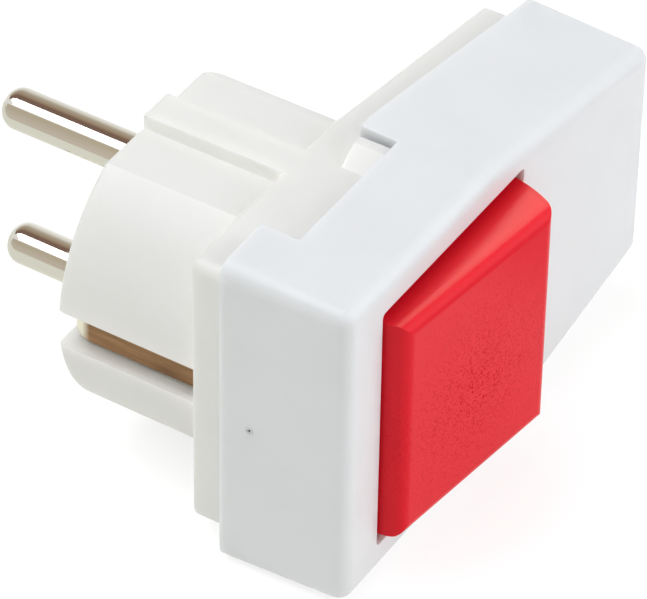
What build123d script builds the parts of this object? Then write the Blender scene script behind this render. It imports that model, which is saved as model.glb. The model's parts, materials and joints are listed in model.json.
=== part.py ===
"""Mains plug with a flat housing, a large tilting switch and a residual current unit inside.

+Y is the way the pins point, +Z is up and +X runs along the housing to its tapered end.
The origin is midway between the pins, on the end face of the round boss that carries them.
A depth is measured from that end face towards the rocker, so it lies along -Y.
All lengths are in millimetres.
"""
import os
from math import atan2, cos, degrees, radians, sin

from build123d import *

os.makedirs("parts", exist_ok=True)

# Pins and boss, as the standard two-pin earthed plug has them
pin_spacing = 19.0
pin_radius = 2.4
pin_length = 19.0
pin_tip_round = 1.9
pin_collar_radius = 2.6
pin_collar_height = 0.2
boss_radius = 18.5
boss_depth = 17.3
boss_flat_height = 16.1
ridge_width = 4.5
boss_end_round = 0.6

# Outline of the housing, seen from the front: level sides to the kink, then a taper
boss_rim_step = 0.7
cover_step = 1.7
tray_near_x = -(boss_radius + boss_rim_step)
cover_near_x = tray_near_x - cover_step
kink_x = 7.7
kink_round = 6.0
cover_far_x = 42.1
cover_half_height = 20.5
cover_far_half_height = 14.5
cover_corner_radius = 2.2
cover_depth = 15.15
cover_draft_width = 0.65
front_round = 1.7
front_wall = 2.2

# Rear tray, which slips inside the cover
tray_far_x = 39.4
tray_half_height = 17.8
tray_far_half_height = 13.0
tray_corner_radius = 1.3
tray_back_round = 0.7
tray_shown_depth = 4.65
tray_insert_depth = 4.8
tray_wall = 1.6
tray_floor = 2.0
slip_clearance = 0.1

# Rocker and the opening that it tilts in
opening_half_length = 14.0
opening_half_height = 16.1
opening_corner_radius = 0.6
collar_wall = 1.0
collar_depth = 1.0
rocker_end_clearance = 0.3
rocker_half_height = 14.65
rocker_face_reach = 6.4
rocker_skirt_reach = 0.6
rocker_edge_round = 1.5
rocker_wall = 1.7
rocker_tilt = 6.6
pivot_setback = 2.5
pivot_pin_radius = 1.0

# Clearances
running_clearance = 0.05
moving_gap = 0.3
contact_gap = 0.1
overrun = 1.0

# Depths that follow from the sizes above
tray_back_depth = boss_depth
cover_back_depth = tray_back_depth + tray_shown_depth
tray_floor_depth = tray_back_depth + tray_floor
tray_rim_depth = cover_back_depth + tray_insert_depth
front_depth = cover_back_depth + cover_depth
cover_ceiling_depth = front_depth - front_wall
pivot_depth = front_depth - pivot_setback
draft_angle = degrees(atan2(cover_draft_width, cover_depth))


def at_depth(depth):
    """Plane square to the pins: its x is +X, its y is +Z and its normal points to the rocker."""
    return Plane.XZ.offset(depth)


def across_length(x):
    """Plane square to the housing's length: its x is +Y, its y is +Z and its normal is +X."""
    return Plane.YZ.offset(x)


def housing_outline(near_x, far_x, half_height, far_half_height, corner_radius):
    """Outline of the housing in a plane square to the pins."""
    with BuildSketch() as outline:
        with BuildLine():
            Polyline(
                (near_x, -half_height),
                (kink_x, -half_height),
                (far_x, -far_half_height),
                (far_x, far_half_height),
                (kink_x, half_height),
                (near_x, half_height),
                close=True,
            )
        make_face()
        corners = outline.vertices().group_by(Axis.X)
        fillet(corners[0] + corners[-1], radius=corner_radius)
        kinks = outline.vertices().sort_by_distance((kink_x, half_height))[:1]
        kinks += outline.vertices().sort_by_distance((kink_x, -half_height))[:1]
        fillet(kinks, radius=kink_round)
    return outline.sketch


def round_lead(points, bend_radius, radius):
    """Insulated lead of round section along straight runs and tangent arcs."""
    with BuildPart() as lead:
        with BuildLine() as route:
            FilletPolyline(*points, radius=bend_radius)
        with BuildSketch(Plane(origin=route.line @ 0, z_dir=route.line % 0)):
            Circle(radius)
        sweep()
    return lead


# Earth slots in the boss and the clips that lie in them
slot_half_width = 2.3
slot_depth = 2.4
slot_end_step = 1.7
slot_floor_radius = boss_radius - slot_depth
slot_end_radius = slot_floor_radius - slot_end_step
slot_end_depth = 3.2
clip_thickness = 0.8
clip_half_width = 1.65

# Inside of the boss
boss_end_wall = 3.4
boss_bore_radius = 14.1
sensor_post_radius = 1.4
sensor_post_circle_radius = 8.3
sensor_post_angle = 25.0
pin_flange_radius = 3.4
pin_flange_thickness = 1.2
pin_tail_radius = 1.4
pin_tail_length = 1.3
pin_tail_depth = boss_end_wall + pin_flange_thickness + pin_tail_length
lead_radius = 0.9
lead_loop_reach = 2.1
sensor_lead_gap = 0.7
lead_loop_depth = pin_tail_depth + lead_loop_reach
sensor_seat_depth = lead_loop_depth + lead_radius + sensor_lead_gap

# Screw bosses of the housing
screw_x = 18.5
screw_z = 11.2
screw_radius = 1.45
screw_head_radius = 2.6
screw_head_height = 1.7
screw_head_recess = 0.6
screw_length = 13.0
screw_boss_radius = 3.1
screw_joint_depth = 25.0
screw_hole_clearance = 0.15
cover_post_radius = 2.6

# Cable inlet and cord clamp
inlet_radius = 4.0
inlet_relief = 0.7
inlet_depth = (cover_back_depth + front_depth) / 2
cord_radius = 3.3
clamp_x = 35.9
clamp_length = 3.6
clamp_post_z = 6.6
clamp_post_radius = 2.1
clamp_seat_lift = 0.5
clamp_seat_depth = inlet_depth + clamp_seat_lift
saddle_half_width = 3.8
saddle_gap = 0.1

# Snap notch in the cover's long edges and the hook on the tray
notch_near_x = -13.0
notch_far_x = 5.9
notch_length = 4.5
hook_gap = 0.5
hook_length = 3.6
hook_height = 1.7
hook_flat = 1.2
hook_clearance = 0.3

# Seats on the tray's floor
switch_half_length = 13.4
switch_half_height = 13.8
switch_lift = 2.7
switch_post_radius = 1.1
switch_post_inset = 1.2
board_near_x = 24.8
board_length = 8.6
board_half_height = 10.4
board_thickness = 1.2
board_lift = 0.8
board_post_radius = 1.2
board_post_inset = 1.6
yoke_near_x = 14.7
yoke_length = 9.6
yoke_thickness = 0.8
yoke_seat_near_x = 17.4
yoke_seat_far_x = 23.0
yoke_seat_half_height = 3.0
coil_radius = 4.2

# Places that follow
switch_back_depth = tray_floor_depth + switch_lift
hook_far_x = notch_far_x - hook_gap
board_back_depth = tray_floor_depth + board_lift
board_front_depth = board_back_depth + board_thickness
throw_radius = 9.0
slider_depth = pivot_depth - throw_radius
yoke_back_depth = slider_depth - coil_radius - yoke_thickness
screw_places = [(screw_x, screw_z), (screw_x, -screw_z)]


# Rear base: the round boss and the tray behind the cover, in one moulding
with BuildPart() as rear_base:
    with BuildSketch(at_depth(tray_back_depth)):
        add(housing_outline(tray_near_x, tray_far_x, tray_half_height,
                            tray_far_half_height, tray_corner_radius))
    extrude(amount=tray_rim_depth - tray_back_depth)
    fillet(rear_base.faces().sort_by(Axis.Y)[-1].edges(), radius=tray_back_round)
    with BuildSketch(at_depth(0)):
        Circle(boss_radius)
        Rectangle(2 * boss_radius, 2 * boss_flat_height, mode=Mode.INTERSECT)
        Rectangle(ridge_width, 2 * tray_half_height)
    extrude(amount=tray_floor_depth)
    fillet(rear_base.faces().sort_by(Axis.Y)[-1].edges(), radius=boss_end_round)
    with BuildSketch(at_depth(tray_floor_depth)):
        add(housing_outline(tray_near_x + tray_wall, tray_far_x - tray_wall,
                            tray_half_height - tray_wall, tray_far_half_height - tray_wall,
                            tray_corner_radius))
    extrude(amount=tray_rim_depth, mode=Mode.SUBTRACT)
    with BuildSketch(at_depth(boss_end_wall)):
        Circle(boss_bore_radius)
    extrude(amount=tray_floor_depth, mode=Mode.SUBTRACT)
    # Earth slots along the boss, deeper at the end face, and the way through the tray's floor
    slot_out = boss_radius + overrun
    for side in (-1, 1):
        with BuildSketch(at_depth(0)):
            with Locations((side * (slot_floor_radius + slot_out) / 2, 0)):
                Rectangle(slot_out - slot_floor_radius, 2 * slot_half_width)
        extrude(amount=tray_back_depth, mode=Mode.SUBTRACT)
        with BuildSketch(at_depth(0)):
            with Locations((side * (slot_end_radius + slot_out) / 2, 0)):
                Rectangle(slot_out - slot_end_radius, 2 * slot_half_width)
        extrude(amount=slot_end_depth, mode=Mode.SUBTRACT)
        with BuildSketch(at_depth(boss_end_wall)):
            with Locations((side * (slot_floor_radius + clip_thickness / 2), 0)):
                Rectangle(clip_thickness, 2 * clip_half_width)
        extrude(amount=tray_floor_depth, mode=Mode.SUBTRACT)
    # Pin holes and the seats of the current sensor
    with BuildSketch(at_depth(-overrun)):
        with GridLocations(0, pin_spacing, 1, 2):
            Circle(pin_collar_radius)
    extrude(amount=boss_end_wall + 2 * overrun, mode=Mode.SUBTRACT)
    with BuildSketch(at_depth(boss_end_wall)):
        for angle in (sensor_post_angle, 180 - sensor_post_angle):
            with PolarLocations(sensor_post_circle_radius, 2, start_angle=angle):
                Circle(sensor_post_radius)
    extrude(amount=sensor_seat_depth - boss_end_wall)
    # Seats on the floor for the switch, the yoke and the board
    with BuildSketch(at_depth(tray_floor_depth)):
        with GridLocations(2 * (switch_half_length - switch_post_inset),
                           2 * (switch_half_height - switch_post_inset), 2, 2):
            Circle(switch_post_radius)
    extrude(amount=switch_back_depth - tray_floor_depth)
    with BuildSketch(at_depth(tray_floor_depth)):
        with Locations(((yoke_seat_near_x + yoke_seat_far_x) / 2, 0)):
            Rectangle(yoke_seat_far_x - yoke_seat_near_x, 2 * yoke_seat_half_height)
    extrude(amount=yoke_back_depth - tray_floor_depth)
    with BuildSketch(at_depth(tray_floor_depth)):
        with Locations((board_near_x + board_length / 2, 0)):
            with GridLocations(board_length - 2 * board_post_inset,
                               2 * (board_half_height - 2 * board_post_inset), 2, 2):
                Circle(board_post_radius)
    extrude(amount=board_lift)
    # Screw bosses with counterbores for the heads
    with BuildSketch(at_depth(tray_floor_depth)):
        with Locations(*screw_places):
            Circle(screw_boss_radius)
    extrude(amount=screw_joint_depth - tray_floor_depth)
    with BuildSketch(at_depth(tray_back_depth)):
        with Locations(*screw_places):
            Circle(screw_head_radius + screw_hole_clearance)
    extrude(amount=screw_head_recess + screw_head_height, mode=Mode.SUBTRACT)
    with BuildSketch(at_depth(tray_back_depth)):
        with Locations(*screw_places):
            Circle(screw_radius + screw_hole_clearance)
    extrude(amount=tray_rim_depth, mode=Mode.SUBTRACT)
    # Saddle and posts of the cord clamp, and the notch under the cable
    with BuildSketch(at_depth(tray_floor_depth)):
        with Locations((clamp_x, 0)):
            Rectangle(clamp_length, 2 * saddle_half_width)
    extrude(amount=inlet_depth - cord_radius / 2 - tray_floor_depth)
    with BuildSketch(at_depth(tray_floor_depth)):
        with Locations((clamp_x, clamp_post_z), (clamp_x, -clamp_post_z)):
            Circle(clamp_post_radius)
    extrude(amount=clamp_seat_depth - tray_floor_depth)
    with BuildSketch(across_length(clamp_x - clamp_length)):
        with Locations((-inlet_depth, 0)):
            Circle(cord_radius + saddle_gap)
    extrude(amount=2 * clamp_length, mode=Mode.SUBTRACT)
    with BuildSketch(across_length(tray_far_x - tray_wall - overrun)):
        with Locations((-inlet_depth, 0)):
            Circle(inlet_radius + inlet_relief)
    extrude(amount=tray_wall + 2 * overrun, mode=Mode.SUBTRACT)
    # Snap hooks that show in the cover's notches
    hook_start_depth = cover_back_depth + hook_clearance
    for side in (-1, 1):
        with BuildSketch(at_depth(hook_start_depth)):
            with BuildLine():
                Polyline(
                    (hook_far_x - hook_length, side * (tray_half_height - tray_wall)),
                    (hook_far_x - hook_length, side * tray_half_height),
                    (hook_far_x - hook_flat, side * (tray_half_height + hook_height)),
                    (hook_far_x, side * (tray_half_height + hook_height)),
                    (hook_far_x, side * (tray_half_height - tray_wall)),
                    close=True,
                )
            make_face()
        extrude(amount=notch_length - 2 * hook_clearance)
rear_base.part.label = "rear_base"
export_step(rear_base.part, "parts/rear_base.step")


# Front cover with the rocker's opening
cover_inner_half_height = tray_half_height + slip_clearance
with BuildPart() as front_cover:
    with BuildSketch(at_depth(cover_back_depth)):
        add(housing_outline(cover_near_x, cover_far_x, cover_half_height,
                            cover_far_half_height, cover_corner_radius))
    extrude(amount=cover_depth, taper=draft_angle)
    fillet(front_cover.faces().sort_by(Axis.Y)[0].edges(), radius=front_round)
    with BuildSketch(at_depth(cover_back_depth)):
        add(housing_outline(tray_near_x - slip_clearance, tray_far_x + slip_clearance,
                            cover_inner_half_height, tray_far_half_height + slip_clearance,
                            tray_corner_radius))
    extrude(amount=cover_ceiling_depth - cover_back_depth, mode=Mode.SUBTRACT)
    # Collar round the opening, then the opening
    with BuildSketch(at_depth(cover_ceiling_depth)):
        RectangleRounded(2 * (opening_half_length + collar_wall),
                         2 * (opening_half_height + collar_wall), opening_corner_radius)
    extrude(amount=-collar_depth)
    with BuildSketch(at_depth(cover_ceiling_depth - 2 * collar_depth)):
        RectangleRounded(2 * opening_half_length, 2 * opening_half_height, opening_corner_radius)
    extrude(amount=front_wall + 2 * collar_depth + overrun, mode=Mode.SUBTRACT)
    # Posts that take the housing screws
    with BuildSketch(at_depth(screw_joint_depth)):
        with Locations(*screw_places):
            Circle(cover_post_radius)
    extrude(amount=cover_ceiling_depth - screw_joint_depth)
    with BuildSketch(at_depth(screw_joint_depth)):
        with Locations(*screw_places):
            Circle(screw_radius)
    extrude(amount=cover_ceiling_depth - screw_joint_depth, mode=Mode.SUBTRACT)
    # Cable inlet in the far end and snap notches in the long edges
    with BuildSketch(across_length(tray_far_x - overrun)):
        with Locations((-inlet_depth, 0)):
            Circle(inlet_radius)
    extrude(amount=cover_far_x, mode=Mode.SUBTRACT)
    for side in (-1, 1):
        with BuildSketch(at_depth(cover_back_depth - overrun)):
            with Locations(((notch_near_x + notch_far_x) / 2, side * cover_half_height)):
                Rectangle(notch_far_x - notch_near_x, 2 * (cover_half_height - cover_inner_half_height))
        extrude(amount=notch_length + overrun, mode=Mode.SUBTRACT)
front_cover.part.label = "front_cover"
export_step(front_cover.part, "parts/front_cover.step")


# Rocker: an arc-ended cap tilted to the position in which its far end stands out
tilt_cos = cos(radians(rocker_tilt))
tilt_sin = sin(radians(rocker_tilt))
rocker_radius = opening_half_length - rocker_end_clearance
lug_thickness = 1.7
eye_radius = 2.2
ear_half_width = 2.4
ear_thickness = 1.8
ear_z = 9.5
stem_tip_radius = 1.2
stem_half_width = 0.8
stem_half_height = 2.0
stem_root_half_width = 1.3
pivot_pin_half_length = 12.4


def tilted_plane(z):
    """Plane square to the pivot that turns with the rocker: its x runs to the raised end."""
    return Plane(origin=(0, -pivot_depth, z), x_dir=(tilt_cos, -tilt_sin, 0), z_dir=(0, 0, 1))


lug_z = ear_z + ear_thickness / 2 + moving_gap
lug_reach = rocker_face_reach - rocker_wall / 2
with BuildPart() as rocker:
    with BuildSketch(tilted_plane(-rocker_half_height)):
        Circle(rocker_radius)
        with Locations((0, (rocker_skirt_reach - rocker_face_reach) / 2)):
            Rectangle(2 * rocker_radius, rocker_skirt_reach + rocker_face_reach, mode=Mode.INTERSECT)
    extrude(amount=2 * rocker_half_height)
    outward = Axis((0, 0, 0), (-tilt_sin, -tilt_cos, 0))
    fillet(rocker.faces().sort_by(outward)[-1].edges(), radius=rocker_edge_round)
    with BuildSketch(tilted_plane(rocker_wall - rocker_half_height)):
        Circle(rocker_radius - rocker_wall)
        with Locations((0, (rocker_skirt_reach + overrun - rocker_face_reach + rocker_wall) / 2)):
            Rectangle(2 * rocker_radius, rocker_skirt_reach + overrun + rocker_face_reach - rocker_wall,
                      mode=Mode.INTERSECT)
    extrude(amount=2 * (rocker_half_height - rocker_wall), mode=Mode.SUBTRACT)
    # Lugs on the pivot pin
    for start in (lug_z, -lug_z - lug_thickness):
        with BuildSketch(tilted_plane(start)):
            Circle(eye_radius)
            with Locations((0, -lug_reach / 2)):
                Rectangle(2 * eye_radius, lug_reach)
        extrude(amount=lug_thickness)
    # Stem that moves the contact slider
    with BuildSketch(tilted_plane(-stem_half_height)):
        Circle(eye_radius)
        with Locations((0, throw_radius)):
            Circle(stem_tip_radius)
        with Locations((0, throw_radius / 2)):
            Rectangle(2 * stem_half_width, throw_radius)
        with Locations((0, -lug_reach / 2)):
            Rectangle(2 * stem_root_half_width, lug_reach)
    extrude(amount=2 * stem_half_height)
    with BuildSketch(tilted_plane(-rocker_half_height + rocker_wall)):
        Circle(pivot_pin_radius + running_clearance)
    extrude(amount=2 * (rocker_half_height - rocker_wall), mode=Mode.SUBTRACT)
rocker.part.label = "rocker"
export_step(rocker.part, "parts/rocker.step")

with BuildPart() as pivot_pin:
    with BuildSketch(tilted_plane(-pivot_pin_half_length)):
        Circle(pivot_pin_radius)
    extrude(amount=2 * pivot_pin_half_length)
    chamfer(pivot_pin.edges(), length=pivot_pin_radius / 4)
pivot_pin.part.label = "pivot_pin"
export_step(pivot_pin.part, "parts/pivot_pin.step")


# Switch frame: a box open at the back, with ears for the pivot pin
switch_wall = 1.2
switch_base_thickness = 1.4
switch_base_front_depth = switch_back_depth + switch_base_thickness
switch_front_depth = pivot_depth - eye_radius - moving_gap
stem_slot_half_width = 2.6
stem_slot_half_height = stem_half_height + 2 * moving_gap
slider_lift = 0.2
slider_thickness = 4.0
slider_half_height = 4.0
slider_back_depth = slider_depth - slider_thickness / 2
slider_front_depth = slider_depth + slider_thickness / 2
slider_centre_x = throw_radius * tilt_sin
slider_travel = 2 * throw_radius * tilt_sin
rod_radius = 1.2
guide_rail_thickness = 1.1
detent_radius = 1.35
detent_nose_round = 0.95
detent_nose_z = slider_half_height + moving_gap / 2
detent_length = 5.1
detent_guide_radius = 2.05
detent_guide_length = 6.0
inner_half_length = switch_half_length - switch_wall
inner_half_height = switch_half_height - switch_wall
inner_front_depth = switch_front_depth - switch_wall
with BuildPart() as switch_frame:
    with BuildSketch(at_depth(switch_base_front_depth)):
        RectangleRounded(2 * switch_half_length, 2 * switch_half_height, switch_wall)
    extrude(amount=switch_front_depth - switch_base_front_depth)
    with BuildSketch(at_depth(switch_base_front_depth)):
        Rectangle(2 * inner_half_length, 2 * inner_half_height)
    extrude(amount=inner_front_depth - switch_base_front_depth, mode=Mode.SUBTRACT)
    with BuildSketch(at_depth(inner_front_depth)):
        for rail_z in (1, -1):
            with Locations((0, rail_z * (slider_half_height - guide_rail_thickness / 2))):
                Rectangle(2 * inner_half_length, guide_rail_thickness)
    extrude(amount=slider_front_depth + slider_lift - inner_front_depth)
    with BuildSketch(at_depth(inner_front_depth - overrun)):
        Rectangle(2 * stem_slot_half_width, 2 * stem_slot_half_height)
    extrude(amount=switch_wall + 2 * overrun, mode=Mode.SUBTRACT)
    for start in (ear_z - ear_thickness / 2, -ear_z - ear_thickness / 2):
        with BuildSketch(Plane(origin=(0, -pivot_depth, start))):
            Circle(ear_half_width)
            with Locations((0, (pivot_depth - inner_front_depth) / 2)):
                Rectangle(2 * ear_half_width, pivot_depth - inner_front_depth)
            Circle(pivot_pin_radius, mode=Mode.SUBTRACT)
        extrude(amount=ear_thickness)
    with BuildSketch(across_length(inner_half_length - overrun)):
        with Locations((-slider_depth, 0)):
            Circle(rod_radius + moving_gap)
    extrude(amount=switch_wall + 2 * overrun, mode=Mode.SUBTRACT)
    # Guide of the detent plunger
    with BuildSketch(Plane(origin=(0, -slider_depth, inner_half_height - detent_guide_length))):
        Circle(detent_guide_radius)
        Circle(detent_radius + 2 * running_clearance, mode=Mode.SUBTRACT)
    extrude(amount=detent_guide_length)
switch_frame.part.label = "switch_frame"
export_step(switch_frame.part, "parts/switch_frame.step")

# Contacts: a bridging bar for each pole closes on a line contact and a load contact
blade_thickness = 0.8
blade_half_width = 1.6
blade_x = inner_half_length - blade_thickness
blade_tail_length = 1.4
blade_top_reach = 1.8
blade_tail_depth = switch_back_depth - blade_tail_length
blade_top_depth = slider_depth + blade_top_reach
stud_radius = 1.3
stud_length = 0.8
line_contact_z = 4.4
load_contact_z = 9.8
bar_half_width = 1.5
bar_overhang = 1.6
bar_face_x = blade_x - stud_length - contact_gap
bar_back_x = bar_face_x - stud_length - blade_thickness
slider_head_length = 3.0
slider_tail_length = 5.5

with BuildPart() as switch_base:
    with BuildSketch(at_depth(switch_back_depth)):
        RectangleRounded(2 * switch_half_length, 2 * switch_half_height, switch_wall)
        for contact_z in (line_contact_z, load_contact_z, -line_contact_z, -load_contact_z):
            with Locations((blade_x + blade_thickness / 2, contact_z)):
                Rectangle(blade_thickness, 2 * blade_half_width, mode=Mode.SUBTRACT)
    extrude(amount=switch_base_thickness)
switch_base.part.label = "switch_base"
export_step(switch_base.part, "parts/switch_base.step")


def fixed_contact(contact_z):
    """Upright blade in the switch base with a stud that faces the slider."""
    with BuildPart() as contact:
        with BuildSketch(at_depth(blade_tail_depth)):
            with Locations((blade_x + blade_thickness / 2, contact_z)):
                Rectangle(blade_thickness, 2 * blade_half_width)
        extrude(amount=blade_top_depth - blade_tail_depth)
        with BuildSketch(across_length(blade_x)):
            with Locations((-slider_depth, contact_z)):
                Circle(stud_radius)
        extrude(amount=-stud_length)
    return contact


live_line_contact = fixed_contact(line_contact_z)
live_line_contact.part.label = "live_line_contact"
export_step(live_line_contact.part, "parts/live_line_contact.step")
live_load_contact = fixed_contact(load_contact_z)
live_load_contact.part.label = "live_load_contact"
export_step(live_load_contact.part, "parts/live_load_contact.step")
neutral_line_contact = fixed_contact(-line_contact_z)
neutral_line_contact.part.label = "neutral_line_contact"
export_step(neutral_line_contact.part, "parts/neutral_line_contact.step")
neutral_load_contact = fixed_contact(-load_contact_z)
neutral_load_contact.part.label = "neutral_load_contact"
export_step(neutral_load_contact.part, "parts/neutral_load_contact.step")


def bridging_contact(side):
    """Bar with two studs on the slider's face, for one pole."""
    middle_z = side * (line_contact_z + load_contact_z) / 2
    with BuildPart() as bridge:
        with BuildSketch(across_length(bar_back_x)):
            with Locations((-slider_depth, middle_z)):
                Rectangle(2 * bar_half_width, load_contact_z - line_contact_z + 2 * bar_overhang)
        extrude(amount=blade_thickness)
        with BuildSketch(across_length(bar_back_x + blade_thickness)):
            for contact_z in (line_contact_z, load_contact_z):
                with Locations((-slider_depth, side * contact_z)):
                    Circle(stud_radius)
        extrude(amount=stud_length)
    return bridge


live_bridge = bridging_contact(1)
live_bridge.part.label = "live_bridge"
export_step(live_bridge.part, "parts/live_bridge.step")
neutral_bridge = bridging_contact(-1)
neutral_bridge.part.label = "neutral_bridge"
export_step(neutral_bridge.part, "parts/neutral_bridge.step")

# Contact slider, moved by the rocker's stem and held by the detent's two notches
notch_reach = 0.5
notch_half_width = 0.7
with BuildPart() as contact_slider:
    tail_x = slider_centre_x - slider_tail_length
    with BuildSketch(at_depth(slider_back_depth)):
        with Locations(((tail_x + bar_back_x) / 2, 0)):
            Rectangle(bar_back_x - tail_x, 2 * slider_half_height)
        with Locations((bar_back_x - slider_head_length / 2, 0)):
            Rectangle(slider_head_length, 2 * (load_contact_z + bar_overhang))
        with Locations((slider_centre_x, 0)):
            Rectangle(2 * (stem_tip_radius + moving_gap), 2 * (stem_half_height + moving_gap),
                      mode=Mode.SUBTRACT)
        for notch_x in (0, slider_travel):
            with BuildLine():
                Polyline(
                    (notch_x - notch_half_width, slider_half_height),
                    (notch_x, slider_half_height - notch_reach),
                    (notch_x + notch_half_width, slider_half_height),
                    close=True,
                )
            make_face(mode=Mode.SUBTRACT)
    extrude(amount=slider_thickness)
contact_slider.part.label = "contact_slider"
export_step(contact_slider.part, "parts/contact_slider.step")

with BuildPart() as detent_plunger:
    with BuildSketch(Plane(origin=(0, -slider_depth, detent_nose_z))):
        Circle(detent_radius)
    extrude(amount=detent_length)
    fillet(detent_plunger.edges().sort_by(Axis.Z)[0], radius=detent_nose_round)
detent_plunger.part.label = "detent_plunger"
export_step(detent_plunger.part, "parts/detent_plunger.step")

spring_wire_radius = 0.2
spring_turns = 5
spring_radius = detent_radius - spring_wire_radius
spring_start_z = detent_nose_z + detent_length + spring_wire_radius
spring_end_z = inner_half_height - spring_wire_radius
with BuildPart() as detent_spring:
    with BuildLine(Plane(origin=(0, -slider_depth, spring_start_z))) as spring_route:
        Helix(pitch=(spring_end_z - spring_start_z) / spring_turns,
              height=spring_end_z - spring_start_z, radius=spring_radius)
    with BuildSketch(Plane(origin=spring_route.line @ 0, z_dir=spring_route.line % 0)):
        Circle(spring_wire_radius)
    sweep()
detent_spring.part.label = "detent_spring"
export_step(detent_spring.part, "parts/detent_spring.step")

# Holding magnet: the armature on the slider's rod, in the coil on its yoke
core_radius = 1.9
core_start_x = switch_half_length + slider_travel + moving_gap
yoke_far_x = yoke_near_x + yoke_length
core_end_x = yoke_far_x - yoke_thickness - moving_gap
bobbin_near_x = yoke_near_x + yoke_thickness
bobbin_far_x = yoke_far_x - yoke_thickness
bobbin_tube_radius = 2.6
bobbin_flange_thickness = 0.7
bobbin_bore_radius = core_radius + 2 * running_clearance
yoke_half_width = 3.4
with BuildPart() as armature:
    with BuildSketch(across_length(bar_back_x)):
        with Locations((-slider_depth, 0)):
            Circle(rod_radius)
    extrude(amount=core_start_x - bar_back_x)
    with BuildSketch(across_length(core_start_x)):
        with Locations((-slider_depth, 0)):
            Circle(core_radius)
    extrude(amount=core_end_x - core_start_x)
armature.part.label = "armature"
export_step(armature.part, "parts/armature.step")

with BuildPart() as coil_bobbin:
    with BuildSketch(across_length(bobbin_near_x)):
        with Locations((-slider_depth, 0)):
            Circle(bobbin_tube_radius)
    extrude(amount=bobbin_far_x - bobbin_near_x)
    for flange_x in (bobbin_near_x, bobbin_far_x - bobbin_flange_thickness):
        with BuildSketch(across_length(flange_x)):
            with Locations((-slider_depth, 0)):
                Circle(coil_radius)
        extrude(amount=bobbin_flange_thickness)
    with BuildSketch(across_length(bobbin_near_x)):
        with Locations((-slider_depth, 0)):
            Circle(bobbin_bore_radius)
    extrude(amount=bobbin_far_x - bobbin_near_x, mode=Mode.SUBTRACT)
coil_bobbin.part.label = "coil_bobbin"
export_step(coil_bobbin.part, "parts/coil_bobbin.step")

with BuildPart() as coil_winding:
    with BuildSketch(across_length(bobbin_near_x + bobbin_flange_thickness)):
        with Locations((-slider_depth, 0)):
            Circle(coil_radius - moving_gap)
            Circle(bobbin_tube_radius, mode=Mode.SUBTRACT)
    extrude(amount=bobbin_far_x - bobbin_near_x - 2 * bobbin_flange_thickness)
coil_winding.part.label = "coil_winding"
export_step(coil_winding.part, "parts/coil_winding.step")

with BuildPart() as coil_yoke:
    with BuildSketch(Plane(origin=(0, 0, -yoke_half_width))):
        with BuildLine():
            Polyline(
                (yoke_near_x, -slider_depth - bobbin_tube_radius),
                (yoke_near_x, -yoke_back_depth),
                (yoke_far_x, -yoke_back_depth),
                (yoke_far_x, -slider_depth - bobbin_tube_radius),
                (bobbin_far_x, -slider_depth - bobbin_tube_radius),
                (bobbin_far_x, -yoke_back_depth - yoke_thickness),
                (bobbin_near_x, -yoke_back_depth - yoke_thickness),
                (bobbin_near_x, -slider_depth - bobbin_tube_radius),
                close=True,
            )
        make_face()
    extrude(amount=2 * yoke_half_width)
    with BuildSketch(across_length(yoke_near_x - overrun)):
        with Locations((-slider_depth, 0)):
            Circle(core_radius + moving_gap)
    extrude(amount=yoke_thickness + 2 * overrun, mode=Mode.SUBTRACT)
coil_yoke.part.label = "coil_yoke"
export_step(coil_yoke.part, "parts/coil_yoke.step")


# Pins: the shank seats on a flange inside the boss's end wall
def plug_pin(z):
    """Round pin with a collar through the end wall, a flange behind it and a tail for its lead."""
    with BuildPart() as pin:
        with BuildSketch(at_depth(-pin_length)):
            with Locations((0, z)):
                Circle(pin_radius)
        extrude(amount=pin_length)
        fillet(pin.edges().sort_by(Axis.Y)[-1], radius=pin_tip_round)
        with BuildSketch(at_depth(-pin_collar_height)):
            with Locations((0, z)):
                Circle(pin_collar_radius)
        extrude(amount=pin_collar_height + boss_end_wall)
        with BuildSketch(at_depth(boss_end_wall)):
            with Locations((0, z)):
                Circle(pin_flange_radius)
        extrude(amount=pin_flange_thickness)
        with BuildSketch(at_depth(boss_end_wall + pin_flange_thickness)):
            with Locations((0, z)):
                Circle(pin_tail_radius)
        extrude(amount=pin_tail_length)
    return pin


live_pin = plug_pin(pin_spacing / 2)
live_pin.part.label = "live_pin"
export_step(live_pin.part, "parts/live_pin.step")
neutral_pin = plug_pin(-pin_spacing / 2)
neutral_pin.part.label = "neutral_pin"
export_step(neutral_pin.part, "parts/neutral_pin.step")

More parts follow.
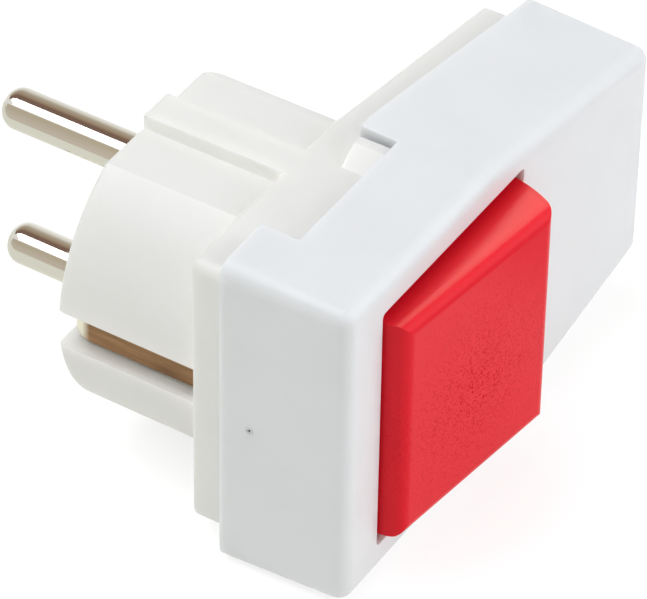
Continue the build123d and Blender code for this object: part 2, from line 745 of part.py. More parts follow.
# Earth strap: side clips in the slots, joined by a bar with a ring round the leads
strap_thickness = 0.7
strap_half_width = 2.0
strap_ring_radius = 7.0
strap_hole_radius = 4.6
curl_radius = 2.6
curl_angle = 50.0
earth_tag_x = 13.2
earth_tag_thickness = 0.7
earth_tag_z = -5.4
earth_tag_half_width = 1.4
earth_tag_height = 1.6
clip_inner_x = slot_floor_radius
clip_outer_x = clip_inner_x + clip_thickness
with BuildPart() as earth_strap:
    with BuildSketch(at_depth(tray_floor_depth)):
        Rectangle(2 * clip_outer_x, 2 * strap_half_width)
        Circle(strap_ring_radius)
        with Locations((earth_tag_x - earth_tag_half_width, earth_tag_z / 2)):
            Rectangle(2 * earth_tag_half_width + earth_tag_thickness,
                      -earth_tag_z + 2 * earth_tag_half_width)
        Circle(strap_hole_radius, mode=Mode.SUBTRACT)
    extrude(amount=strap_thickness)
    with BuildSketch(at_depth(tray_floor_depth)):
        with Locations((earth_tag_x, earth_tag_z)):
            Rectangle(earth_tag_thickness, 2 * earth_tag_half_width)
    extrude(amount=strap_thickness + earth_tag_height)
    for side in (-1, 1):
        with BuildSketch(Plane(origin=(0, 0, -clip_half_width))):
            with BuildLine():
                straight_in = Line((side * clip_inner_x, -tray_floor_depth - strap_thickness),
                                   (side * clip_inner_x, -slot_end_depth))
                curl_in = CenterArc((side * (clip_inner_x - curl_radius), -slot_end_depth),
                                    curl_radius, 90 - side * 90, side * curl_angle)
                curl_out = CenterArc((side * (clip_inner_x - curl_radius), -slot_end_depth),
                                     curl_radius + clip_thickness, 90 - side * 90, side * curl_angle)
                Line(curl_in @ 1, curl_out @ 1)
                straight_out = Line(curl_out @ 0, (side * clip_outer_x, -tray_floor_depth - strap_thickness))
                Line(straight_out @ 1, straight_in @ 0)
            make_face()
        extrude(amount=2 * clip_half_width)
earth_strap.part.label = "earth_strap"
export_step(earth_strap.part, "parts/earth_strap.step")

# Current sensor: a ring core in its winding, on posts inside the boss
sensor_radius = 10.0
sensor_bore_radius = 4.4
sensor_height = 6.8
winding_thickness = 0.9
with BuildPart() as sensor_core:
    with BuildSketch(at_depth(sensor_seat_depth + winding_thickness)):
        Circle(sensor_radius - winding_thickness)
        Circle(sensor_bore_radius + winding_thickness, mode=Mode.SUBTRACT)
    extrude(amount=sensor_height - 2 * winding_thickness)
sensor_core.part.label = "sensor_core"
export_step(sensor_core.part, "parts/sensor_core.step")

with BuildPart() as sensor_winding:
    with BuildSketch(at_depth(sensor_seat_depth)):
        Circle(sensor_radius)
        Circle(sensor_bore_radius, mode=Mode.SUBTRACT)
    extrude(amount=sensor_height)
    fillet(sensor_winding.edges(), radius=winding_thickness)
    with BuildSketch(at_depth(sensor_seat_depth + winding_thickness)):
        Circle(sensor_radius - winding_thickness)
        Circle(sensor_bore_radius + winding_thickness, mode=Mode.SUBTRACT)
    extrude(amount=sensor_height - 2 * winding_thickness, mode=Mode.SUBTRACT)
sensor_winding.part.label = "sensor_winding"
export_step(sensor_winding.part, "parts/sensor_winding.step")

# Circuit board with its components
with BuildPart() as circuit_board:
    with BuildSketch(at_depth(board_back_depth)):
        with Locations((board_near_x + board_length / 2, 0)):
            RectangleRounded(board_length, 2 * board_half_height, board_lift)
    extrude(amount=board_thickness)
circuit_board.part.label = "circuit_board"
export_step(circuit_board.part, "parts/circuit_board.step")

component_inset = 1.9
component_x = board_near_x + component_inset
chip_length = 5.0
chip_width = 2.8
chip_height = 1.4
with BuildPart() as amplifier_chip:
    with BuildSketch(at_depth(board_front_depth)):
        with Locations((component_x, 0)):
            Rectangle(chip_width, chip_length)
    extrude(amount=chip_height)
    chamfer(amplifier_chip.faces().sort_by(Axis.Y)[0].edges(), length=chip_height / 5)
amplifier_chip.part.label = "amplifier_chip"
export_step(amplifier_chip.part, "parts/amplifier_chip.step")

edge_component_inset = 1.15
edge_component_z = board_half_height - edge_component_inset
capacitor_length = 3.2
capacitor_width = 2.1
capacitor_height = 5.4
with BuildPart() as filter_capacitor:
    with BuildSketch(at_depth(board_front_depth)):
        with Locations((component_x, -edge_component_z)):
            RectangleRounded(capacitor_length, capacitor_width, capacitor_width / 5)
    extrude(amount=capacitor_height)
    fillet(filter_capacitor.faces().sort_by(Axis.Y)[0].edges(), radius=capacitor_width / 6)
filter_capacitor.part.label = "filter_capacitor"
export_step(filter_capacitor.part, "parts/filter_capacitor.step")

thyristor_radius = 1.6
thyristor_flat = 1.0
thyristor_height = 3.8
with BuildPart() as thyristor:
    with BuildSketch(at_depth(board_front_depth)):
        with Locations((component_x, edge_component_z)):
            Circle(thyristor_radius)
            Rectangle(2 * thyristor_radius, 2 * thyristor_flat, mode=Mode.INTERSECT)
    extrude(amount=thyristor_height)
thyristor.part.label = "thyristor"
export_step(thyristor.part, "parts/thyristor.step")

# Terminals on the board, each with a cross hole and a clamping screw
terminal_near_x = 28.6
terminal_length = 4.6
terminal_half_width = 2.5
terminal_corner_radius = 0.3
terminal_screw_share = 0.6
terminal_height = 6.4
terminal_spacing = 7.0
terminal_hole_radius = 1.3
terminal_hole_height = 3.2
terminal_hole_depth = board_front_depth + terminal_hole_height
terminal_screw_radius = 1.3
terminal_screw_head_radius = 1.9
terminal_screw_head_height = 1.0
terminal_top_depth = board_front_depth + terminal_height


def terminal_block(z):
    """Brass block with a hole for the wire and a tapped hole for its screw."""
    with BuildPart() as block:
        with BuildSketch(at_depth(board_front_depth)):
            with Locations((terminal_near_x + terminal_length / 2, z)):
                RectangleRounded(terminal_length, 2 * terminal_half_width, terminal_corner_radius)
        extrude(amount=terminal_height)
        with BuildSketch(across_length(terminal_near_x + terminal_length / 3)):
            with Locations((-terminal_hole_depth, z)):
                Circle(terminal_hole_radius)
        extrude(amount=terminal_length, mode=Mode.SUBTRACT)
        with BuildSketch(at_depth(terminal_hole_depth)):
            with Locations((terminal_near_x + terminal_screw_share * terminal_length, z)):
                Circle(terminal_screw_radius)
        extrude(amount=terminal_height, mode=Mode.SUBTRACT)
    return block


live_terminal = terminal_block(terminal_spacing)
live_terminal.part.label = "live_terminal"
export_step(live_terminal.part, "parts/live_terminal.step")
earth_terminal = terminal_block(0)
earth_terminal.part.label = "earth_terminal"
export_step(earth_terminal.part, "parts/earth_terminal.step")
neutral_terminal = terminal_block(-terminal_spacing)
neutral_terminal.part.label = "neutral_terminal"
export_step(neutral_terminal.part, "parts/neutral_terminal.step")

with BuildPart() as terminal_screws:
    with BuildSketch(at_depth(terminal_hole_depth + terminal_hole_radius)):
        with Locations((terminal_near_x + terminal_screw_share * terminal_length, 0)):
            with GridLocations(0, terminal_spacing, 1, 3):
                Circle(terminal_screw_radius)
    extrude(amount=terminal_top_depth - terminal_hole_depth - terminal_hole_radius)
    with BuildSketch(at_depth(terminal_top_depth)):
        with Locations((terminal_near_x + terminal_screw_share * terminal_length, 0)):
            with GridLocations(0, terminal_spacing, 1, 3):
                Circle(terminal_screw_head_radius)
    extrude(amount=terminal_screw_head_height)
terminal_screws.part.label = "terminal_screws"
export_step(terminal_screws.part, "parts/terminal_screws.step")

# Cord clamp with its arch and screws
clamp_plate_thickness = 1.6
clamp_arch_wall = 1.2
clamp_half_height = 9.0
clamp_screw_radius = 1.1
clamp_head_radius = 1.9
clamp_head_height = 1.1
with BuildPart() as cord_clamp:
    with BuildSketch(across_length(clamp_x - clamp_length / 2)):
        with Locations((-clamp_seat_depth - clamp_plate_thickness / 2, 0)):
            Rectangle(clamp_plate_thickness, 2 * clamp_half_height)
        with Locations((-inlet_depth, 0)):
            Circle(cord_radius + clamp_arch_wall)
        with Locations((-clamp_seat_depth + inlet_radius, 0)):
            Rectangle(2 * inlet_radius, 2 * clamp_half_height, mode=Mode.SUBTRACT)
        with Locations((-inlet_depth, 0)):
            Circle(cord_radius, mode=Mode.SUBTRACT)
    extrude(amount=clamp_length)
    with BuildSketch(at_depth(clamp_seat_depth - overrun)):
        with Locations((clamp_x, clamp_post_z), (clamp_x, -clamp_post_z)):
            Circle(clamp_screw_radius)
    extrude(amount=clamp_plate_thickness + 2 * overrun, mode=Mode.SUBTRACT)
cord_clamp.part.label = "cord_clamp"
export_step(cord_clamp.part, "parts/cord_clamp.step")

with BuildPart() as clamp_screws:
    with BuildSketch(at_depth(clamp_seat_depth)):
        with Locations((clamp_x, clamp_post_z), (clamp_x, -clamp_post_z)):
            Circle(clamp_screw_radius)
    extrude(amount=clamp_plate_thickness)
    with BuildSketch(at_depth(clamp_seat_depth + clamp_plate_thickness)):
        with Locations((clamp_x, clamp_post_z), (clamp_x, -clamp_post_z)):
            Circle(clamp_head_radius)
    extrude(amount=clamp_head_height)
clamp_screws.part.label = "clamp_screws"
export_step(clamp_screws.part, "parts/clamp_screws.step")

with BuildPart() as housing_screws:
    screw_head_depth = tray_back_depth + screw_head_recess
    with BuildSketch(at_depth(screw_head_depth)):
        with Locations(*screw_places):
            Circle(screw_head_radius)
            Rectangle(screw_head_radius, screw_head_recess, mode=Mode.SUBTRACT)
            Rectangle(screw_head_recess, screw_head_radius, mode=Mode.SUBTRACT)
    extrude(amount=screw_head_height)
    with BuildSketch(at_depth(screw_head_depth + screw_head_height / 2)):
        with Locations(*screw_places):
            Circle(screw_radius)
    extrude(amount=screw_length)
housing_screws.part.label = "housing_screws"
export_step(housing_screws.part, "parts/housing_screws.step")

# Leads
lead_rise = 2.9
earth_lead_radius = 0.7
lead_bend = 1.3
lead_centre_z = 1.6
lead_floor_depth = switch_back_depth - lead_radius - contact_gap
lead_step = 1.5
lead_front_depth = board_front_depth + lead_rise


def line_lead(side):
    """Lead from a pin through the sensor to its line contact."""
    return round_lead(
        [
            (0, -pin_tail_depth, side * pin_spacing / 2),
            (0, -lead_loop_depth, side * pin_spacing / 2),
            (0, -lead_loop_depth, side * lead_centre_z),
            (0, -lead_floor_depth, side * lead_centre_z),
            (blade_x / 2, -lead_floor_depth, side * line_contact_z),
            (blade_x, -lead_floor_depth, side * line_contact_z),
        ],
        lead_bend,
        lead_radius,
    )


def load_lead(side):
    """Lead from a load contact along the tray to its terminal."""
    contact_far_x = blade_x + blade_thickness
    return round_lead(
        [
            (contact_far_x, -lead_floor_depth, side * load_contact_z),
            (contact_far_x + lead_step, -lead_floor_depth, side * load_contact_z),
            (contact_far_x + 2 * lead_step, -lead_floor_depth, side * terminal_spacing),
            (board_near_x - 4 * lead_bend, -lead_floor_depth, side * terminal_spacing),
            (board_near_x - lead_bend, -lead_front_depth, side * terminal_spacing),
            (terminal_near_x, -lead_front_depth, side * terminal_spacing),
        ],
        lead_bend,
        lead_radius,
    )


live_line_lead = line_lead(1)
live_line_lead.part.label = "live_line_lead"
export_step(live_line_lead.part, "parts/live_line_lead.step")
neutral_line_lead = line_lead(-1)
neutral_line_lead.part.label = "neutral_line_lead"
export_step(neutral_line_lead.part, "parts/neutral_line_lead.step")
live_load_lead = load_lead(1)
live_load_lead.part.label = "live_load_lead"
export_step(live_load_lead.part, "parts/live_load_lead.step")
neutral_load_lead = load_lead(-1)
neutral_load_lead.part.label = "neutral_load_lead"
export_step(neutral_load_lead.part, "parts/neutral_load_lead.step")

earth_tag_far_x = earth_tag_x + earth_tag_thickness / 2
earth_turn_x = (yoke_far_x + terminal_near_x) / 2
earth_lead = round_lead(
    [
        (earth_tag_far_x, -lead_floor_depth, earth_tag_z),
        (yoke_near_x + yoke_length / 2, -lead_floor_depth, earth_tag_z),
        (yoke_far_x - lead_bend, -lead_front_depth, earth_tag_z),
        (earth_turn_x, -lead_front_depth, earth_tag_z),
        (earth_turn_x, -lead_front_depth, 0),
        (terminal_near_x, -lead_front_depth, 0),
    ],
    lead_bend,
    earth_lead_radius,
)
earth_lead.part.label = "earth_lead"
export_step(earth_lead.part, "parts/earth_lead.step")
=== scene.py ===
"""Looks for the plug with the large tilting switch: materials, a gate mark, light and camera.

Everything is in metres in the row frame: +Y the way the pins point, +Z up, +X to the tapered end.
"""
import json
import math

import bpy
from mathutils import Euler, Matrix, Vector


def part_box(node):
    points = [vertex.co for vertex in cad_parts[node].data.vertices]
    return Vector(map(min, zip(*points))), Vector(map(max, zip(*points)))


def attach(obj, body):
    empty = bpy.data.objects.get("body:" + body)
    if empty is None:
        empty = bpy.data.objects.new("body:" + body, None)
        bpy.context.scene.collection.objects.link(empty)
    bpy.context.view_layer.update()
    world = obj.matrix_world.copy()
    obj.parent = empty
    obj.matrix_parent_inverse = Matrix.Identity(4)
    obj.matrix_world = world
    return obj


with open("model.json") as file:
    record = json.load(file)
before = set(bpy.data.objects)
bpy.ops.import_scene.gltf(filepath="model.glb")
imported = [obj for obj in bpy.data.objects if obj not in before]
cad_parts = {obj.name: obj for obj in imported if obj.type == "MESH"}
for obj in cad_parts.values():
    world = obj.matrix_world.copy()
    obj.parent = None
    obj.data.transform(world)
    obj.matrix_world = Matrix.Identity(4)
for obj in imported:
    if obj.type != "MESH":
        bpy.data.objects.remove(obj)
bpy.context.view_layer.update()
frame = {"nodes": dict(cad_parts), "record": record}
nodes = frame["nodes"]
MM = 0.001


# Shader helpers

noise_roughness = 0.55
mottle_start = 0.3
mottle_end = 0.7


def new_material(name):
    """Material, its node tree and the Principled shader in it."""
    material = bpy.data.materials.new(name)
    material.use_nodes = True
    tree = material.node_tree
    return material, tree, tree.nodes["Principled BSDF"]


def own_place(tree):
    """Place on the object, in its own coordinates."""
    return tree.nodes.new("ShaderNodeTexCoord").outputs["Object"]


def calculate(tree, operation, first, second):
    """Result of an operation on the outputs of two nodes."""
    node = tree.nodes.new("ShaderNodeMath")
    node.operation = operation
    tree.links.new(first, node.inputs[0])
    tree.links.new(second, node.inputs[1])
    return node.outputs[0]


def rescale(tree, value, source, target):
    """Value carried from the source range over to the target range, and kept within it."""
    node = tree.nodes.new("ShaderNodeMapRange")
    for label, number in zip(("From Min", "From Max", "To Min", "To Max"), (*source, *target)):
        node.inputs[label].default_value = number
    tree.links.new(value, node.inputs["Value"])
    return node.outputs["Result"]


def noise(tree, scale, detail=3.0, stretch=None):
    """Noise in the object's coordinates. stretch squeezes it along an axis."""
    texture = tree.nodes.new("ShaderNodeTexNoise")
    texture.inputs["Scale"].default_value = scale
    texture.inputs["Detail"].default_value = detail
    texture.inputs["Roughness"].default_value = noise_roughness
    place = own_place(tree)
    if stretch is not None:
        mapping = tree.nodes.new("ShaderNodeMapping")
        mapping.inputs["Scale"].default_value = stretch
        tree.links.new(place, mapping.inputs["Vector"])
        place = mapping.outputs["Vector"]
    tree.links.new(place, texture.inputs["Vector"])
    return texture.outputs["Fac"]


def ramp(tree, factor, stops):
    """Colour ramp through (place, colour) stops."""
    node = tree.nodes.new("ShaderNodeValToRGB")
    elements = node.color_ramp.elements
    elements[0].position, elements[0].color = stops[0][0], (*stops[0][1], 1)
    elements[1].position, elements[1].color = stops[-1][0], (*stops[-1][1], 1)
    for place, colour in stops[1:-1]:
        element = elements.new(place)
        element.color = (*colour, 1)
    tree.links.new(factor, node.inputs["Fac"])
    return node.outputs["Color"]


def shade(colour, gain):
    """The colour made lighter or darker."""
    return tuple(min(1.0, part * gain) for part in colour)


def mottle(tree, factor, colour, darkest, lightest=1.0):
    """The colour times a gain that follows a noise factor, over the middle of its range."""
    return ramp(tree, factor, [(mottle_start, shade(colour, darkest)), (mottle_end, shade(colour, lightest))])


def mix_colours(tree, factor, first, second):
    """First colour where the factor is 0 and second where it is 1. The first may be an output."""
    node = tree.nodes.new("ShaderNodeMixRGB")
    tree.links.new(factor, node.inputs[0])
    if isinstance(first, tuple):
        node.inputs[1].default_value = (*first, 1)
    else:
        tree.links.new(first, node.inputs[1])
    node.inputs[2].default_value = (*second, 1)
    return node.outputs[0]


def bump(tree, shader, factor, height, strength):
    """Fine relief from a factor; height is in metres."""
    node = tree.nodes.new("ShaderNodeBump")
    node.inputs["Distance"].default_value = height
    node.inputs["Strength"].default_value = strength
    tree.links.new(factor, node.inputs["Height"])
    tree.links.new(node.outputs["Normal"], shader.inputs["Normal"])


def shown_to_the_eye(tree):
    """1 for camera, glossy and transmission rays, and 0 for the light that falls on the object."""
    paths = tree.nodes.new("ShaderNodeLightPath")
    shown = paths.outputs["Is Camera Ray"]
    for label in ("Is Glossy Ray", "Is Transmission Ray"):
        shown = calculate(tree, "MAXIMUM", shown, paths.outputs[label])
    return shown


# Kinds of material. Scales of noise are in waves to the metre

plastic_mottle_scale = 110.0
plastic_gloss_scale = 320.0
plastic_grain_scale = 1400.0
plastic_relief = 0.02 * MM
plastic_relief_strength = 0.35
smoothest_change = -0.05
roughest_change = 0.06
scattered_share = 0.6
scattering_radii = (1.0, 1.0, 0.8)


def plastic(name, colour, roughness, spread=0.04, depth=None):
    """Satin plastic with slow mottling and a fine grain. Light spreads in it as far as the depth."""
    material, tree, shader = new_material(name)
    colours = mottle(tree, noise(tree, plastic_mottle_scale), colour, 1 - spread, 1 + spread / 2)
    tree.links.new(colours, shader.inputs["Base Color"])
    rough = rescale(tree, noise(tree, plastic_gloss_scale), (0, 1),
                    (roughness + smoothest_change, roughness + roughest_change))
    tree.links.new(rough, shader.inputs["Roughness"])
    grain = noise(tree, plastic_grain_scale, detail=2.0)
    bump(tree, shader, grain, plastic_relief, plastic_relief_strength)
    if depth is not None:
        shader.subsurface_method = "BURLEY"
        shader.inputs["Subsurface Weight"].default_value = scattered_share
        shader.inputs["Subsurface Radius"].default_value = scattering_radii
        shader.inputs["Subsurface Scale"].default_value = depth
    return material


pitted_mottle_scale = 150.0
pitted_grain_scale = 1800.0
pit_scale = 4200.0
pit_start = 0.52
pit_end = 0.60
pit_share_past_reach = 0.05


def pitted_plastic(name, colour, pit_colour, roughness, gloss, centre, reach):
    """Plastic with fine dark pits without gloss, thickest round a centre and faint past the reach."""
    material, tree, shader = new_material(name)
    base = mottle(tree, noise(tree, pitted_mottle_scale), colour, darkest=0.96)
    pits = ramp(tree, noise(tree, pit_scale, detail=2.0), [(pit_start, (0, 0, 0)), (pit_end, (1, 1, 1))])
    distance = tree.nodes.new("ShaderNodeVectorMath")
    distance.operation = "DISTANCE"
    distance.inputs[1].default_value = centre
    tree.links.new(own_place(tree), distance.inputs[0])
    fading = rescale(tree, distance.outputs["Value"], (0, reach), (1.0, pit_share_past_reach))
    amount = calculate(tree, "MULTIPLY", pits, fading)
    tree.links.new(mix_colours(tree, amount, base, pit_colour), shader.inputs["Base Color"])
    shader.inputs["Roughness"].default_value = roughness
    shader.inputs["Specular IOR Level"].default_value = gloss
    tree.links.new(rescale(tree, amount, (0, 1), (gloss, 0.0)), shader.inputs["Specular IOR Level"])
    grain = noise(tree, pitted_grain_scale, detail=2.0)
    bump(tree, shader, grain, plastic_relief, plastic_relief_strength)
    return material


streak_scale = 900.0
metal_relief = 0.008 * MM
metal_relief_strength = 0.3
smoothest_gain = 0.8
roughest_gain = 1.3


def metal(name, colour, roughness, spread=0.08, stretch=None, relief=metal_relief):
    """Metal with faint streaks, drawn out along an axis where stretch says so."""
    material, tree, shader = new_material(name)
    streaks = noise(tree, streak_scale, stretch=stretch)
    tree.links.new(mottle(tree, streaks, colour, 1 - spread), shader.inputs["Base Color"])
    shader.inputs["Metallic"].default_value = 1.0
    rough = rescale(tree, streaks, (0, 1), (roughness * smoothest_gain, roughness * roughest_gain))
    tree.links.new(rough, shader.inputs["Roughness"])
    bump(tree, shader, streaks, relief, metal_relief_strength)
    return material


clip_streak_stretch = (1, 0.12, 1)


def metal_with_tip_highlight(name, colour, roughness, tip_highlight_colour, tip_highlight_start, tip_highlight_end):
    """Metal with strong streaks along Y that turns pale between two places on Y: a painted highlight that
    stands in for the white light the clip's curved end reflects.
    """
    material, tree, shader = new_material(name)
    streaks = noise(tree, streak_scale, stretch=clip_streak_stretch)
    body = mottle(tree, streaks, colour, darkest=0.6, lightest=1.15)
    place = tree.nodes.new("ShaderNodeSeparateXYZ")
    tree.links.new(own_place(tree), place.inputs[0])
    # Painted highlight: share of the pale colour along Y, standing in for reflected white light
    highlight_share = rescale(tree, place.outputs["Y"], (tip_highlight_start, tip_highlight_end), (0, 1))
    tree.links.new(mix_colours(tree, highlight_share, body, tip_highlight_colour), shader.inputs["Base Color"])
    shader.inputs["Metallic"].default_value = 1.0
    shader.inputs["Roughness"].default_value = roughness
    bump(tree, shader, streaks, metal_relief, metal_relief_strength)
    return material


# Materials of the slots

strap_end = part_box("earth_strap")[1][1]
pitting_centre = (-1.0 * MM, -41.0 * MM, -1.5 * MM)
looks = {
    "white_plastic": plastic("white_plastic", (0.785, 0.80, 0.835), roughness=0.42,
                             spread=0.02, depth=1.2 * MM),
    "ivory_plastic": plastic("ivory_plastic", (0.83, 0.825, 0.82), roughness=0.42,
                             spread=0.02, depth=2.5 * MM),
    "red_plastic": pitted_plastic("red_plastic", (0.77, 0.0085, 0.022), pit_colour=(0.56, 0.004, 0.016),
                                  roughness=0.34, gloss=0.13, centre=pitting_centre, reach=17.0 * MM),
    # The pale end of the bronze clip is a painted highlight, not a colour of the metal
    "bronze": metal_with_tip_highlight("bronze", (0.36, 0.205, 0.105), roughness=0.30, tip_highlight_colour=(0.86, 0.82, 0.68),
                           tip_highlight_start=strap_end - 2.4 * MM, tip_highlight_end=strap_end - 1.4 * MM),
    "nickel": metal("nickel", (0.70, 0.68, 0.62), roughness=0.07, spread=0.03, stretch=(1, 0.1, 1),
                    relief=0.002 * MM),
}
for name, colour, roughness in (("black_plastic", (0.03, 0.03, 0.033), 0.5),
                                ("shaded_plastic", (0.15, 0.15, 0.145), 0.5),
                                ("cream_plastic", (0.70, 0.65, 0.54), 0.5),
                                ("green_board", (0.03, 0.16, 0.06), 0.35),
                                ("capacitor_film", (0.52, 0.17, 0.04), 0.3),
                                ("brown_sleeve", (0.12, 0.045, 0.02), 0.45),
                                ("blue_sleeve", (0.03, 0.09, 0.38), 0.45),
                                ("green_sleeve", (0.12, 0.34, 0.05), 0.45)):
    looks[name] = plastic(name, colour, roughness)
for name, colour, roughness in (("steel", (0.60, 0.60, 0.61), 0.35),
                                ("brass", (0.72, 0.52, 0.24), 0.3),
                                ("copper", (0.62, 0.28, 0.14), 0.35)):
    looks[name] = metal(name, colour, roughness)

for row in frame["record"]["subparts"]:
    mesh = nodes[row["node"]].data
    mesh.materials.clear()
    mesh.materials.append(looks[row["material_slot"]])


# Gate mark on the near end of the cover: a small raised ring round a dark grey dome, which is painted shade
# standing in for the shade inside the gate's pit

gate_y = -25.54 * MM
gate_z = -0.23 * MM
outside_x = -50.0 * MM
ring_radius = 0.36 * MM
ring_half_thickness = 0.10 * MM
pit_radius = 0.24 * MM
pit_sink = 0.18 * MM
spot, normal = nodes["front_cover"].ray_cast((outside_x, gate_y, gate_z), (1, 0, 0))[1:3]
bpy.ops.mesh.primitive_torus_add(major_radius=ring_radius, minor_radius=ring_half_thickness,
                                 major_segments=24, minor_segments=8, location=spot,
                                 rotation=normal.to_track_quat("Z", "Y").to_euler())
gate_ring = bpy.context.object
gate_ring.name = "gate_ring"
# The dark dome is painted shade: it stands for the shade in the pit, not for a colour of the plastic
bpy.ops.mesh.primitive_uv_sphere_add(radius=pit_radius, segments=16, ring_count=8,
                                     location=spot - normal * pit_sink)
gate_pit_shade = bpy.context.object
gate_pit_shade.name = "gate_pit_shade"
for item, look in ((gate_ring, "white_plastic"), (gate_pit_shade, "shaded_plastic")):
    item.data.shade_smooth()
    item.data.materials.append(looks[look])
    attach(item, "housing")


# Floor. It throws warm light up at the plug, while the eye sees it nearly white, with the shadow

floor_size = 8.0
floor_gap = 0.1 * MM
floor_roughness = 0.9
floor_mottle_scale = 3.0
floor_stops = [(0.2, (0.91, 0.905, 0.86)), (0.8, (0.93, 0.925, 0.88))]
shown_grey = (0.42, 0.42, 0.42)
shown_glow = 0.72
lowest = min(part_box(name)[0][2] for name in nodes)
bpy.ops.mesh.primitive_plane_add(size=floor_size, location=(0, 0, lowest - floor_gap))
floor = bpy.context.object
floor.name = "floor"
material, tree, shader = new_material("floor")
shader.inputs["Roughness"].default_value = floor_roughness
warm_white = ramp(tree, noise(tree, floor_mottle_scale), floor_stops)
tree.links.new(warm_white, shader.inputs["Base Color"])
plain = tree.nodes.new("ShaderNodeBsdfDiffuse")
plain.inputs["Color"].default_value = (*shown_grey, 1)
glow = tree.nodes.new("ShaderNodeEmission")
glow.inputs["Strength"].default_value = shown_glow
shown_floor = tree.nodes.new("ShaderNodeAddShader")
tree.links.new(plain.outputs[0], shown_floor.inputs[0])
tree.links.new(glow.outputs[0], shown_floor.inputs[1])
chosen = tree.nodes.new("ShaderNodeMixShader")
tree.links.new(shown_to_the_eye(tree), chosen.inputs[0])
tree.links.new(shader.outputs[0], chosen.inputs[1])
tree.links.new(shown_floor.outputs[0], chosen.inputs[2])
tree.links.new(chosen.outputs[0], tree.nodes["Material Output"].inputs["Surface"])
floor.data.materials.append(material)


# World: a soft grey light, and white to the eye

world_light = (0.38, 0.38, 0.365)
world_shown = (1.0, 1.0, 1.0)
world = bpy.data.worlds.new("studio")
bpy.context.scene.world = world
world.use_nodes = True
tree = world.node_tree
backdrop = mix_colours(tree, shown_to_the_eye(tree), world_light, world_shown)
tree.links.new(backdrop, tree.nodes["Background"].inputs["Color"])


# Lamps

plug_middle = Vector((10.0, -18.0, 0.0)) * MM


def lamp(name, direction, distance, size, power, colour):
    """Square area lamp that stands in a direction from the plug's middle and faces it."""
    away = Vector(direction).normalized() * distance
    data = bpy.data.lights.new(name, "AREA")
    data.shape = "SQUARE"
    data.size = size
    data.energy = power
    data.color = colour
    item = bpy.data.objects.new(name, data)
    bpy.context.collection.objects.link(item)
    item.location = plug_middle + away
    item.rotation_euler = (-away).to_track_quat("-Z", "Y").to_euler()
    return item


lamp("key", (-0.25, 0.36, 0.90), distance=0.9, size=0.75, power=5.25, colour=(0.97, 0.99, 1.0))
lamp("front", (0.35, -0.85, 0.40), distance=0.7, size=0.6, power=2.5, colour=(0.97, 0.98, 1.0))

# These fall on the rocker alone: a sheen on its upper side, above the cover's shadow, another on
# the edge of its face, and a fill in that shadow
sheen_colour = (1.0, 0.96, 0.78)
side_sheen = lamp("side_sheen", (0.52, 0.33, 0.79), distance=0.6, size=0.16, power=2.5,
                  colour=sheen_colour)
edge_sheen = lamp("edge_sheen", (0.62, -0.08, 0.78), distance=0.6, size=0.24, power=2.0,
                  colour=sheen_colour)
rocker_fill = lamp("rocker_fill", (0.0, -0.45, 0.90), distance=0.7, size=0.4, power=0.7,
                   colour=(1.0, 0.98, 0.98))
rocker_alone = bpy.data.collections.new("rocker_alone")
rocker_alone.objects.link(nodes["rocker"])
for item in (side_sheen, edge_sheen, rocker_fill):
    item.light_linking.receiver_collection = rocker_alone
side_sheen.visible_diffuse = False
edge_sheen.visible_diffuse = False
rocker_fill.visible_glossy = False


# Cards that only shiny surfaces mirror: they draw the bands along the pins

cards_near_y = -0.15
cards_far_y = 1.3
arc_radius = 0.45
arc_steps = 24
card_lift = 1.0 * MM
beige_pale_x = -0.055
pale_grey_x = 0.03
beige = (0.72, 0.65, 0.57)


def card(name, points, faces, stops):
    """Glowing card. Its colour follows stops of (degrees, colour), counted from +X towards +Z."""
    mesh = bpy.data.meshes.new(name)
    mesh.from_pydata(points, [], faces)
    item = bpy.data.objects.new(name, mesh)
    bpy.context.collection.objects.link(item)
    material, tree = new_material(name)[:2]
    place = tree.nodes.new("ShaderNodeSeparateXYZ")
    tree.links.new(own_place(tree), place.inputs[0])
    angle = calculate(tree, "ARCTAN2", place.outputs["Z"], place.outputs["X"])
    start, end = stops[0][0], stops[-1][0]
    share = rescale(tree, angle, (math.radians(start), math.radians(end)), (0, 1))
    colours = ramp(tree, share, [((degrees - start) / (end - start), colour) for degrees, colour in stops])
    glow = tree.nodes.new("ShaderNodeEmission")
    tree.links.new(colours, glow.inputs["Color"])
    tree.links.new(glow.outputs[0], tree.nodes["Material Output"].inputs["Surface"])
    mesh.materials.append(material)
    item.visible_camera = False
    item.visible_diffuse = False
    item.visible_shadow = False
    item.visible_transmission = False
    item.visible_volume_scatter = False


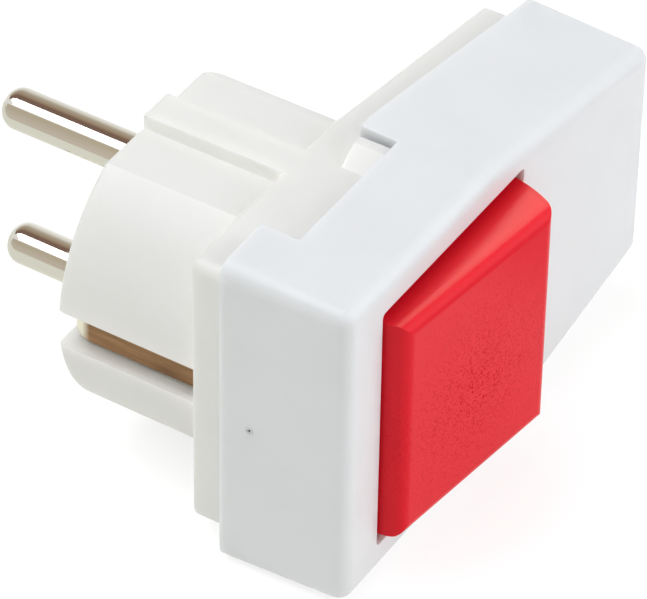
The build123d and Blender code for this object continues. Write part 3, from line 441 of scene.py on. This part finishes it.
def arc_card(name, stops):
    """Card bent round the pins' direction, over the angles of its stops."""
    start, end = stops[0][0], stops[-1][0]
    angles = [math.radians(start + (end - start) * step / arc_steps) for step in range(arc_steps + 1)]
    points = [(arc_radius * math.cos(angle), y, arc_radius * math.sin(angle))
              for angle in angles for y in (cards_near_y, cards_far_y)]
    faces = [(2 * step, 2 * step + 1, 2 * step + 3, 2 * step + 2) for step in range(arc_steps)]
    card(name, points, faces, stops)


def low_card(name, near_x, far_x, near_y, far_y, colour):
    """Level card of one colour, just above the floor."""
    z = lowest + card_lift
    points = [(near_x, near_y, z), (far_x, near_y, z), (far_x, far_y, z), (near_x, far_y, z)]
    card(name, points, [(0, 1, 2, 3)], [(0, colour), (180, colour)])


arc_card("brown_card", [(8, (0.96, 0.95, 0.90)), (20, (0.94, 0.92, 0.86)), (34, (0.62, 0.57, 0.485)),
                        (45, (0.52, 0.435, 0.34)), (56, (0.49, 0.38, 0.29)), (66, (0.38, 0.27, 0.20)),
                        (75, (0.25, 0.155, 0.115)), (96, (0.20, 0.115, 0.085))])
arc_card("beige_card", [(138, (0.60, 0.53, 0.41)), (160, (0.64, 0.57, 0.46)), (182.5, beige)])
low_card("low_beige_card", near_x=-0.45, far_x=beige_pale_x, near_y=cards_near_y, far_y=cards_far_y,
         colour=beige)
low_card("low_pale_card", near_x=beige_pale_x, far_x=pale_grey_x, near_y=-0.05, far_y=cards_far_y,
         colour=(0.92, 0.93, 0.86))
low_card("low_grey_card", near_x=pale_grey_x, far_x=0.6, near_y=-0.8, far_y=-0.06,
         colour=(0.20, 0.20, 0.21))


# Camera, fitted to the photograph

photo_width = 647
focal_pixels = 4764.4
camera_place = Vector((-323.662, -221.141, 330.421)) * MM
camera_turn = Euler([math.radians(degrees) for degrees in (49.0653, -0.7259, -57.6934)])
camera_data = bpy.data.cameras.new("camera")
camera_data.sensor_width = 36.0
camera_data.lens = focal_pixels / photo_width * camera_data.sensor_width
camera_data.clip_start = 0.01
camera_data.clip_end = 20.0
camera = bpy.data.objects.new("camera", camera_data)
bpy.context.collection.objects.link(camera)
camera.matrix_world = Matrix.LocRotScale(camera_place, camera_turn, None)
bpy.context.scene.camera = camera
bpy.context.scene.view_settings.view_transform = "Standard"
